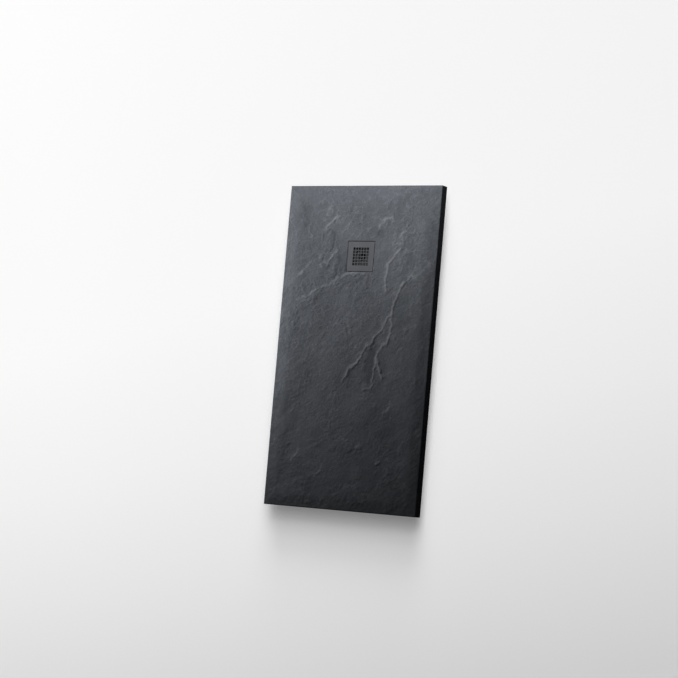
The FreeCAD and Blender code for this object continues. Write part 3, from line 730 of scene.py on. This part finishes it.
def slate_gelcoat():
    """Matt pigmented coat: cloudy tone, painted highlight on crests and veins, painted shade in clefts, fine
    slate grain.
    """
    recipe = Recipe("slate_gelcoat")
    grain = recipe.stretched(GRAIN_ANGLE, GELCOAT_GRAIN)
    clouds = recipe.noise(scale=14.0, detail=5.0, rough=0.65)
    streaks = recipe.noise(scale=110.0, detail=5.0, place=grain)
    speckle = recipe.noise(scale=420.0, detail=3.0, rough=0.65)
    tone = recipe.node("ShaderNodeAttribute", attribute_name="slate_tone_and_painted_light").outputs["Fac"]
    broad = recipe.mix(recipe.spread(clouds, 0.0, 1.0), GELCOAT_DARK, GELCOAT_PALE)
    streaky = recipe.mix(recipe.spread(streaks, 0.0, 0.4), broad, GELCOAT_STREAK)
    specks = recipe.spread(speckle, 0.35, 0.0, start=0.35, end=0.6)
    grainy = recipe.mix(specks, streaky, GELCOAT_SPECK)
    # Painted highlight where the tone is above 0, painted shade where it is below 0.
    crests = recipe.spread(tone, 0.0, 0.5, start=0.0, end=1.0)
    clefts = recipe.spread(tone, 0.0, 0.5, start=0.0, end=-1.0)
    colour = recipe.mix(clefts, recipe.mix(crests, grainy, GELCOAT_PAINTED_HIGHLIGHT), GELCOAT_PAINTED_SHADE)
    along = recipe.node("ShaderNodeSeparateXYZ")
    recipe.link(recipe.place, along.inputs[0])
    depth = recipe.spread(
        along.outputs["Y"], GELCOAT_FOOT_DEPTH * MM, GELCOAT_HEAD_DEPTH * MM,
        start=BOLD_FROM_Y * MM, end=HALF_LENGTH * MM,
    )
    normal = recipe.bump(recipe.noise(scale=135.0, place=grain), depth)
    normal = recipe.bump(recipe.noise(scale=330.0, rough=0.6), depth, strength=0.7, normal=normal)
    normal = recipe.bump(recipe.noise(scale=1500.0, detail=2.0), distance=0.05 * MM, normal=normal)
    return recipe.finish(colour, recipe.spread(speckle, 0.62, 0.86), normal, specular=0.007)


def cover_coat():
    """Matt powder coat, a little rubbed on its edges."""
    recipe = Recipe("cover_coat")
    clouds = recipe.noise(scale=25.0)
    peel = recipe.noise(scale=900.0, detail=2.0)
    base = recipe.mix(recipe.spread(clouds, 0.0, 1.0), COVER_DARK, COVER_PALE)
    base = recipe.mix(recipe.spread(peel, 0.0, 0.35), base, COVER_PORE)
    rubbed = recipe.math("MULTIPLY", recipe.edges(radius=0.6), recipe.spread(clouds, 0.2, 0.6))
    colour = recipe.mix(rubbed, base, COVER_RUBBED)
    roughness = recipe.spread(peel, 0.5, 0.7)
    return recipe.finish(colour, roughness, recipe.bump(peel, distance=0.06 * MM), specular=0.12)


def cast_resin():
    """Bare mineral-filled resin with pale and dark grains."""
    recipe = Recipe("cast_resin")
    clouds = recipe.noise(scale=14.0)
    grains = recipe.noise(scale=700.0, detail=3.0, rough=0.7)
    base = recipe.mix(recipe.spread(clouds, 0.0, 1.0), RESIN_DARK, RESIN_PALE)
    dusty = recipe.mix(recipe.spread(grains, 0.0, 0.5, start=0.45, end=0.7), base, RESIN_PALE_GRAIN)
    colour = recipe.mix(recipe.spread(grains, 0.5, 0.0, start=0.3, end=0.45), dusty, RESIN_DARK_GRAIN)
    roughness = recipe.spread(grains, 0.7, 0.92)
    return recipe.finish(colour, roughness, recipe.bump(grains, distance=0.25 * MM), specular=0.3)


def stainless_steel():
    """Bright steel with fine lines along it and a few smears."""
    recipe = Recipe("stainless_steel")
    lines = recipe.noise(scale=500.0, detail=3.0, place=recipe.stretched(0.0, STAINLESS_LINES))
    smears = recipe.noise(scale=60.0)
    colour = recipe.mix(recipe.spread(smears, 0.0, 1.0), STAINLESS_DARK, STAINLESS_PALE)
    roughness = recipe.spread(lines, 0.34, 0.52)
    return recipe.finish(colour, roughness, recipe.bump(lines, distance=0.02 * MM), metallic=1.0)


def insert_brass():
    """Turned brass, a little tarnished."""
    recipe = Recipe("insert_brass")
    lines = recipe.noise(scale=700.0, detail=2.0, place=recipe.stretched(0.0, BRASS_LINES))
    tarnish = recipe.noise(scale=150.0)
    colour = recipe.mix(recipe.spread(tarnish, 0.0, 1.0), BRASS_DARK, BRASS_PALE)
    roughness = recipe.spread(lines, 0.25, 0.45)
    return recipe.finish(colour, roughness, recipe.bump(lines, distance=0.03 * MM), metallic=1.0)


def blackened_steel():
    """A satin black coat, worn to bare steel here and there on its edges."""
    recipe = Recipe("blackened_steel")
    clouds = recipe.noise(scale=120.0)
    pores = recipe.noise(scale=1500.0, detail=2.0)
    base = recipe.mix(recipe.spread(clouds, 0.0, 1.0), BLACKENED_DARK, BLACKENED_PALE)
    worn = recipe.math("MULTIPLY", recipe.edges(radius=0.3), recipe.spread(pores, 0.0, 0.4))
    colour = recipe.mix(worn, base, BLACKENED_WORN)
    roughness = recipe.spread(pores, 0.45, 0.62)
    return recipe.finish(colour, roughness, recipe.bump(pores, distance=0.03 * MM), specular=0.3)


def rubber(name, dark, pale):
    """Matt rubber with a little bloom."""
    recipe = Recipe(name)
    bloom = recipe.noise(scale=80.0)
    pores = recipe.noise(scale=1300.0, detail=2.0)
    colour = recipe.mix(recipe.spread(bloom, 0.0, 1.0), dark, pale)
    roughness = recipe.spread(pores, 0.72, 0.92)
    return recipe.finish(colour, roughness, recipe.bump(pores, distance=0.05 * MM), specular=0.35)


def moulded_plastic(name, dark, pale, smoothest, roughest):
    """Moulded plastic: slight clouds, a fine spark-eroded texture and paler edges."""
    recipe = Recipe(name)
    clouds = recipe.noise(scale=35.0)
    texture = recipe.noise(scale=1100.0, detail=2.0)
    base = recipe.mix(recipe.spread(clouds, 0.0, 1.0), dark, pale)
    lighter = tuple(min(1.0, part * PLASTIC_EDGE_GAIN + PLASTIC_EDGE_LIFT) for part in pale)
    on_edges = recipe.math("MULTIPLY", recipe.edges(radius=0.5), PLASTIC_EDGE_SHOW)
    colour = recipe.mix(on_edges, base, lighter)
    roughness = recipe.spread(texture, smoothest, roughest)
    return recipe.finish(colour, roughness, recipe.bump(texture, distance=0.04 * MM), specular=0.3)


def make_materials():
    """One material for each slot of the record."""
    return {
        "slate_gelcoat": slate_gelcoat(),
        "cast_resin": cast_resin(),
        "cover_coat": cover_coat(),
        "stainless_steel": stainless_steel(),
        "blackened_steel": blackened_steel(),
        "insert_brass": insert_brass(),
        **{name: rubber(name, *look) for name, look in RUBBERS.items()},
        **{name: moulded_plastic(name, *look) for name, look in PLASTICS.items()},
    }


def dress(piece, material):
    piece.data.materials.clear()
    piece.data.materials.append(material)


# --- The floor ---------------------------------------------------------------------------------------------
def floor_painted_shade(recipe):
    """The painted shade of each place on the floor: a painted light falloff along the tray's length and a
    little from side to side.
    """
    turned = recipe.node("ShaderNodeSeparateXYZ")
    recipe.link(recipe.stretched(FLOOR_TURN, (1.0, 1.0, 1.0)), turned.inputs[0])
    first, last = FLOOR_PAINTED_SHADES[0][0], FLOOR_PAINTED_SHADES[-1][0]
    ramp = recipe.node("ShaderNodeValToRGB")
    lengthwise = recipe.spread(turned.outputs["Y"], 0.0, 1.0, start=first * MM, end=last * MM)
    recipe.link(lengthwise, ramp.inputs["Fac"])
    elements = ramp.color_ramp.elements
    while len(elements) < len(FLOOR_PAINTED_SHADES):
        elements.new(0.5)
    for element, (place, shade) in zip(elements, FLOOR_PAINTED_SHADES):
        element.position = (place - first) / (last - first)
        element.color = (shade, shade, shade, 1.0)
    sideways = recipe.spread(
        turned.outputs["X"], FLOOR_LEFT_PAINTED_SHADE, FLOOR_RIGHT_PAINTED_SHADE,
        start=-FLOOR_REACH * MM, end=FLOOR_REACH * MM,
    )
    return recipe.math("MULTIPLY", ramp.outputs["Color"], sideways)


def floor_material():
    """Pale where the camera sees it, and dark where light would bounce off it."""
    recipe = Recipe("floor")
    shade = floor_painted_shade(recipe)
    path = recipe.node("ShaderNodeLightPath").outputs
    seen = recipe.math("MAXIMUM", path["Is Camera Ray"], path["Is Glossy Ray"])
    seen = recipe.math("MAXIMUM", seen, path["Is Transmission Ray"])
    colour = recipe.mix(seen, FLOOR_BOUNCE, shade)
    recipe.link(colour, recipe.shader.inputs["Emission Color"])
    recipe.shader.inputs["Emission Strength"].default_value = FLOOR_GLOW
    fine = recipe.noise(scale=600.0)
    normal = recipe.bump(fine, distance=0.02 * MM)
    return recipe.finish(colour, recipe.spread(fine, 0.85, 0.95), normal, specular=0.0)


def make_floor():
    """The plain floor under the trap."""
    reach = FLOOR_SIDE / 2
    level = bowl_low.z - FLOOR_GAP
    corners = [(-reach, -reach, level), (reach, -reach, level), (reach, reach, level), (-reach, reach, level)]
    floor = mesh_object("floor", corners, [(0, 1, 2, 3)], math.pi)
    dress(floor, floor_material())
    return floor


# --- The light and the camera ------------------------------------------------------------------------------
def light_only(lamp, thing, state):
    """Makes the lamp light nothing but the thing, or everything but it."""
    chosen = bpy.data.collections.new(lamp.name + "_light")
    chosen.objects.link(thing)
    chosen.collection_objects[0].light_linking.link_state = state
    lamp.light_linking.receiver_collection = chosen


def make_lamp(name, kind, place, aim):
    data = bpy.data.lights.new(name, kind)
    lamp = bpy.data.objects.new(name, data)
    bpy.context.scene.collection.objects.link(lamp)
    lamp.location = place * MM
    lamp.rotation_mode = "QUATERNION"
    lamp.rotation_quaternion = (aim - place).to_track_quat("-Z", "Y")
    return lamp


def make_panel(name, place, aim, size, watts, floor):
    """A soft rectangular lamp that lights everything but the floor."""
    lamp = make_lamp(name, "AREA", place, aim)
    lamp.data.shape = "RECTANGLE"
    lamp.data.size = size[0] * MM
    lamp.data.size_y = size[1] * MM
    lamp.data.energy = watts
    lamp.visible_camera = False
    light_only(lamp, floor, "EXCLUDE")


def make_lamps(floor):
    """Two low soft lamps beyond the head end and the left side, and the suns for the floor."""
    make_panel("head_lamp", HEAD_LAMP_PLACE, HEAD_LAMP_AIM, HEAD_LAMP_SIZE, HEAD_LAMP_WATTS, floor)
    make_panel("left_lamp", LEFT_LAMP_PLACE, LEFT_LAMP_AIM, LEFT_LAMP_SIZE, LEFT_LAMP_WATTS, floor)
    for share, way, spread in FLOOR_SUNS:
        sun = make_lamp("floor_sun", "SUN", way / MM, Vector())
        sun.data.energy = FLOOR_LIGHT * share / way.normalized().z
        sun.data.angle = spread
        light_only(sun, floor, "INCLUDE")


def make_world():
    """A weak even light, which the camera, mirrors and glass see as a pale backdrop."""
    world = bpy.data.worlds.new("studio")
    bpy.context.scene.world = world
    world.use_nodes = True
    nodes = world.node_tree.nodes
    links = world.node_tree.links
    nodes.clear()
    path = nodes.new("ShaderNodeLightPath").outputs
    mirrored = nodes.new("ShaderNodeMath")
    mirrored.operation = "MAXIMUM"
    seen = nodes.new("ShaderNodeMath")
    seen.operation = "MAXIMUM"
    strength = nodes.new("ShaderNodeMapRange")
    strength.inputs["To Min"].default_value = AMBIENT
    strength.inputs["To Max"].default_value = BACKDROP
    background = nodes.new("ShaderNodeBackground")
    background.inputs["Color"].default_value = (1.0, 1.0, 1.0, 1.0)
    output = nodes.new("ShaderNodeOutputWorld")
    links.new(path["Is Glossy Ray"], mirrored.inputs[0])
    links.new(path["Is Transmission Ray"], mirrored.inputs[1])
    links.new(path["Is Camera Ray"], seen.inputs[0])
    links.new(mirrored.outputs["Value"], seen.inputs[1])
    links.new(seen.outputs["Value"], strength.inputs["Value"])
    links.new(strength.outputs["Result"], background.inputs["Strength"])
    links.new(background.outputs["Background"], output.inputs["Surface"])


def make_camera():
    """The camera where the photograph was taken from, in the frame of the tray that lies flat."""
    turn_cos, turn_sin = math.cos(TRAY_TURN), math.sin(TRAY_TURN)
    across = Vector((turn_cos, -turn_sin, 0.0))
    backwards = Vector((turn_sin, turn_cos, 0.0))
    upright = Vector((0.0, 0.0, 1.0))
    along = upright * math.cos(TRAY_LEAN) + backwards * math.sin(TRAY_LEAN)
    outward = upright * math.sin(TRAY_LEAN) - backwards * math.cos(TRAY_LEAN)
    to_row = Matrix((across, along, outward))
    foot = Vector((0.0, -HALF_LENGTH, EDGE_HEIGHT))
    place = foot - to_row @ FOOT_FROM_CAMERA
    ahead = to_row @ Vector((0.0, math.cos(CAMERA_PITCH), -math.sin(CAMERA_PITCH)))
    up = to_row @ Vector((0.0, math.sin(CAMERA_PITCH), math.cos(CAMERA_PITCH)))
    right = ahead.cross(up)
    data = bpy.data.cameras.new("camera")
    data.lens = LENS_MM
    data.sensor_width = SENSOR_MM
    data.clip_end = CAMERA_SIGHT * MM
    camera = bpy.data.objects.new("camera", data)
    bpy.context.scene.collection.objects.link(camera)
    camera.matrix_world = Matrix.Translation(place * MM) @ Matrix((right, up, -ahead)).transposed().to_4x4()
    bpy.context.scene.camera = camera


# --- The scene ---------------------------------------------------------------------------------------------
materials = make_materials()
for subpart in frame["record"]["subparts"]:
    dress(frame["nodes"][subpart["node"]], materials[subpart["material_slot"]])

coat = slate_coat()
dress(coat, materials["slate_gelcoat"])
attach(coat, "tray")
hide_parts("gelcoat_skin")

make_lamps(make_floor())
make_world()
make_camera()
bpy.context.scene.view_settings.view_transform = "Standard"
